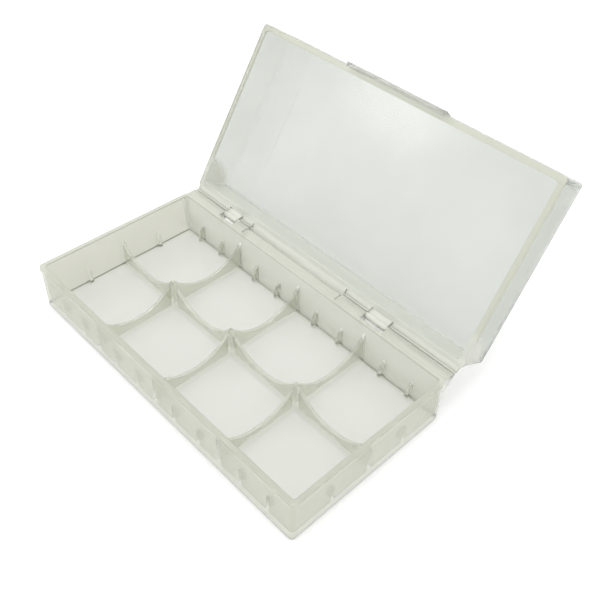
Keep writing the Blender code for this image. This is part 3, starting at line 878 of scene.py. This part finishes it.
@dataclass
class Tray:
    """The tray moulding: shell, scooped ribs and fins in one piece."""

    sizes: ShellSizes = field(default_factory=lambda: ShellSizes(
        half_length=0.080, half_width=TRAY_HALF_WIDTH, height=TRAY_HEIGHT, floor=0.0021, wall=0.0017,
        rim_round=0.00045))
    ribs: RibSizes = field(default_factory=RibSizes)
    replaced: tuple[str, ...] = (
        "tray_shell", "lengthwise_divider", "cross_divider_left_front", "cross_divider_left_rear",
        "cross_divider_middle_front", "cross_divider_middle_rear", "cross_divider_right_front",
        "cross_divider_right_rear")
    fittings: tuple[str, ...] = (
        "hinge_socket_left_inner", "hinge_socket_left_outer", "hinge_socket_right_inner",
        "hinge_socket_right_outer", "tray_ledge_middle")

    def build(self, tree: NodeTree, nodes: dict) -> None:
        """Builds the moulding with its hinge sockets and ledge in one piece.

        Args:
            tree: The rule's node tree.
            nodes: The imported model's objects by node name.
        """
        plastic = TRAY_FINISH.make(self.sizes.height * UPWARDS)
        shell = MouldedShell("tray_moulding", self.sizes, self.ribs).make(tree, plastic)
        fuse(shell, [rooted(nodes[name], Matrix(), self.sizes.half_width) for name in self.fittings])
        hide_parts(*self.replaced, *self.fittings)
        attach(shell, Body.TRAY.value)


@dataclass
class Lid:
    """The lid moulding, built opening upwards and then hung on the hinge.

    The hinge axis lies a setback behind the tray and a drop below its rim. An open angle of 0 is shut.
    """

    sizes: ShellSizes = field(default_factory=lambda: ShellSizes(
        half_length=0.0804, half_width=0.04105, height=0.0198, floor=0.0015, wall=0.0022,
        outer_edge=0.0010, inner_edge=0.0010, inner_corner=0.0016, line_step=0.003,
        field_half_length=0.0621, field_half_width=0.02025, field_sink=0.0002))
    rim_clearance: float = 0.0003
    hinge_setback: float = 0.0038
    hinge_drop: float = 0.0011
    open_angle: float = math.radians(121.6)
    fittings: tuple[str, ...] = (
        "hinge_pin_left", "hinge_pin_right", "lid_ledge_middle", "lid_ledge_left_inner",
        "lid_ledge_left_outer", "lid_ledge_right_inner", "lid_ledge_right_outer")

    def swing(self) -> Matrix:
        """Turn about the hinge axis from the closed to the open lid."""
        axis = Vector((0.0, TRAY_HALF_WIDTH + self.hinge_setback, TRAY_HEIGHT - self.hinge_drop))
        turn = Matrix.Rotation(-self.open_angle, 4, "X")
        return Matrix.Translation(axis) @ turn @ Matrix.Translation(-axis)

    def hang(self) -> Matrix:
        """Turn and place from the shell's own frame to the lid's open place."""
        top = TRAY_HEIGHT + self.rim_clearance + self.sizes.height
        return self.swing() @ Matrix.Translation((0.0, 0.0, top)) @ Matrix.Rotation(math.pi, 4, "X")

    def build(self, tree: NodeTree, nodes: dict) -> None:
        """Builds the moulding with its hinge pins and ledges in one piece.

        Args:
            tree: The rule's node tree.
            nodes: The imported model's objects by node name.
        """
        hang, swing = self.hang(), self.swing()
        plastic = LID_FINISH.make(hang @ (self.sizes.height * UPWARDS), hang.to_3x3() @ UPWARDS)
        shell = MouldedShell("lid_moulding", self.sizes).make(tree, plastic)
        shell.data.transform(hang)
        fuse(shell, [rooted(nodes[name], swing, self.sizes.half_width) for name in self.fittings])
        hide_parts("lid_shell", *self.fittings)
        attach(shell, Body.LID.value)


@dataclass
class Latch:
    """The latch tongue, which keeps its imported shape."""

    node: str = "latch_tongue"

    def build(self, nodes: dict) -> None:
        """Dresses the tongue."""
        dress(nodes[self.node], LATCH_FINISH.make())
        LOG.info("%s dressed", self.node)


@dataclass(frozen=True)
class Lamp:
    """A soft rectangular lamp: its size and place in metres and its power in watts."""

    name: str
    place: tuple[float, float, float]
    target: tuple[float, float, float]
    size: Span
    power: float


@dataclass
class Studio:
    """Floor, lamps, world and camera.

    The floor lies a drop below the box, so that their faces don't meet, and adds a lift where the camera
    sees it. In and through the plastic it shows in part, its plainness, as an even glow. Lens and sensor
    are in millimetres, the shift is in widths of the picture and the turn in degrees.
    """

    lamps: tuple[Lamp, ...] = (
        Lamp("ceiling", (0.05, 0.05, 0.90), (0.0, 0.03, 0.02), (0.45, 0.35), 1.8),
        Lamp("skylight", (-0.414, -0.12, 0.69), (0.0, 0.04, 0.02), (0.22, 0.10), 0.5),
        Lamp("window", (-0.425, -0.50, 0.396), (-0.007, 0.103, 0.079), (0.14, 0.10), 0.2))
    floor_size: float = 6.0
    floor_drop: float = 0.00005
    floor_colour: Colour = (0.90, 0.90, 0.90)
    floor_roughness: float = 0.9
    floor_lift: float = 0.2
    floor_through: float = 1.0
    floor_plainness: float = 0.8
    sky_strength: float = 1.0
    lens: float = 48.25
    sensor: float = 36.0
    clip_start: float = 0.01
    shift: Span = (-0.0057, -0.0298)
    camera_place: tuple[float, float, float] = (0.17941, -0.14467, 0.25544)
    camera_turn: tuple[float, float, float] = (47.385, -2.243, 46.035)

    def build(self) -> None:
        """Builds everything that isn't the object."""
        self.build_floor()
        self.build_world()
        self.build_lamps()
        self.build_camera()

    def build_floor(self) -> None:
        """Lays a plain pale floor that keeps the shadow."""
        bm = bmesh.new()
        bmesh.ops.create_grid(bm, x_segments=1, y_segments=1, size=self.floor_size / 2)
        floor = placed("floor", as_mesh(bm, "floor"))
        floor.location.z = -self.floor_drop
        material = bpy.data.materials.new("pale_floor")
        material.use_nodes = True
        nodes, links = material.node_tree.nodes, material.node_tree.links
        sums = Formula(material.node_tree)
        plain = nodes["Principled BSDF"]
        plain.inputs["Base Color"].default_value = (*self.floor_colour, 1.0)
        plain.inputs["Roughness"].default_value = self.floor_roughness
        plain.inputs["Specular IOR Level"].default_value = 0.0
        glow = nodes.new("ShaderNodeEmission")
        lift = sums.node("MULTIPLY", sums.rays("Is Camera Ray"), self.floor_lift)
        links.new(lift, glow.inputs["Strength"])
        lit = nodes.new("ShaderNodeAddShader")
        links.new(plain.outputs[0], lit.inputs[0])
        links.new(glow.outputs[0], lit.inputs[1])
        through = nodes.new("ShaderNodeEmission")
        through.inputs["Strength"].default_value = self.floor_through
        seen = sums.rays("Is Glossy Ray", "Is Transmission Ray")
        plainness = sums.node("MULTIPLY", seen, self.floor_plainness)
        both = sums.blend(plainness, lit.outputs[0], through.outputs[0])
        links.new(both, nodes["Material Output"].inputs["Surface"])
        floor.data.materials.append(material)

    def build_world(self) -> None:
        """Gives an even sky that shows as white behind the object."""
        world = bpy.data.worlds.new("studio")
        bpy.context.scene.world = world
        world.use_nodes = True
        nodes, links = world.node_tree.nodes, world.node_tree.links
        sums = Formula(world.node_tree)
        sky, white = nodes["Background"], nodes.new("ShaderNodeBackground")
        for background, strength in ((sky, self.sky_strength), (white, 1.0)):
            background.inputs["Color"].default_value = (1.0, 1.0, 1.0, 1.0)
            background.inputs["Strength"].default_value = strength
        seen = sums.rays("Is Camera Ray", "Is Glossy Ray", "Is Transmission Ray")
        both = sums.blend(seen, sky.outputs[0], white.outputs[0])
        links.new(both, nodes["World Output"].inputs["Surface"])

    def build_lamps(self) -> None:
        """Hangs the lamps, each turned to the box."""
        for lamp in self.lamps:
            data = bpy.data.lights.new(lamp.name, "AREA")
            data.shape = "RECTANGLE"
            data.size, data.size_y = lamp.size
            data.energy = lamp.power
            item = placed(lamp.name, data)
            item.location = lamp.place
            towards = Vector(lamp.target) - Vector(lamp.place)
            item.rotation_euler = towards.to_track_quat("-Z", "Y").to_euler()

    def build_camera(self) -> None:
        """Sets the camera at the photograph's angle."""
        data = bpy.data.cameras.new("camera")
        data.lens = self.lens
        data.sensor_width = self.sensor
        data.shift_x, data.shift_y = self.shift
        data.clip_start = self.clip_start
        camera = placed("camera", data)
        camera.location = self.camera_place
        camera.rotation_euler = tuple(math.radians(angle) for angle in self.camera_turn)
        bpy.context.scene.camera = camera


def quarter_turn(steps: int) -> list[Span]:
    """Sines and cosines from 0 to a quarter turn in even steps."""
    angles = [math.pi / 2 * step / steps for step in range(steps + 1)]
    return [(math.sin(angle), math.cos(angle)) for angle in angles]


def as_mesh(bm: bmesh.types.BMesh, name: str) -> Mesh:
    """Turns a bmesh, which is used up, into a mesh."""
    mesh = bpy.data.meshes.new(name)
    bm.to_mesh(mesh)
    bm.free()
    return mesh


def placed(name: str, data: ID) -> Object:
    """Makes an object of its data and puts it in the scene."""
    item = bpy.data.objects.new(name, data)
    bpy.context.scene.collection.objects.link(item)
    return item


def rooted(node: Object, swing: Matrix, edge: float) -> Mesh:
    """Copies a packed hinge piece and lets its flat root run into the wall that carries it.

    Args:
        node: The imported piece, which stands a seat gap off its wall.
        swing: Turn from the closed place, in which the wall faces +Y, to the piece's own.
        edge: Distance of the wall's band from the middle.

    Returns:
        The closed mesh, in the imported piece's place.
    """
    bm = bmesh.new()
    bm.from_mesh(node.data)
    bmesh.ops.remove_doubles(bm, verts=bm.verts, dist=WELD_DISTANCE)
    bm.transform(swing.inverted())
    for vert in bm.verts:
        if vert.co.y < edge + ROOT_BAND:
            vert.co.y -= ROOT_PUSH
    bm.transform(swing)
    return as_mesh(bm, node.name + "_rooted")


def settle(item: Object, modifier: Modifier) -> None:
    """Makes a modifier's result the object's own mesh.

    Args:
        item: The object that carries the modifier.
        modifier: The modifier; it is removed.
    """
    evaluated = item.evaluated_get(bpy.context.evaluated_depsgraph_get())
    mesh = bpy.data.meshes.new_from_object(evaluated)
    item.modifiers.remove(modifier)
    item.data = mesh


def fuse(body: Object, pieces: Sequence[Mesh]) -> None:
    """Melts closed meshes into a body, which keeps its finish.

    Args:
        body: The body that takes them in.
        pieces: The closed meshes; they are used up.
    """
    bm = bmesh.new()
    for mesh in pieces:
        bm.from_mesh(mesh)
        bpy.data.meshes.remove(mesh)
    tool = placed("fittings", as_mesh(bm, "fittings"))
    modifier = body.modifiers.new("melt", "BOOLEAN")
    modifier.operation = "UNION"
    modifier.solver = "EXACT"
    modifier.object = tool
    plastic = body.data.materials[0]
    settle(body, modifier)
    bpy.data.objects.remove(tool, do_unlink=True)
    body.data.materials.clear()
    body.data.materials.append(plastic)
    body.data.shade_smooth()
    for face in body.data.polygons:
        face.use_smooth = len(face.vertices) <= ROUNDED_CORNERS
    body.data.set_sharp_from_angle(angle=SHARP_ANGLE)
    flats = body.modifiers.new("flats", "WEIGHTED_NORMAL")
    flats.keep_sharp = True
    settle(body, flats)
    LOG.info("%s: %d faces", body.name, len(body.data.polygons))


def dress(item: Object, material: Material) -> None:
    """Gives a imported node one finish."""
    if not item.material_slots:
        item.data.materials.append(material)
    for slot in item.material_slots:
        slot.material = material


def main() -> None:
    """Builds the box and the studio."""
    logging.basicConfig(level=logging.INFO, format="%(name)s: %(message)s")
    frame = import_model()
    nodes = frame["nodes"]
    scene = bpy.context.scene
    scene.view_settings.view_transform = "Standard"
    tree = MouldRule().build()
    Tray().build(tree, nodes)
    Lid().build(tree, nodes)
    Latch().build(nodes)
    Studio().build()


if __name__ == "__main__":
    main()
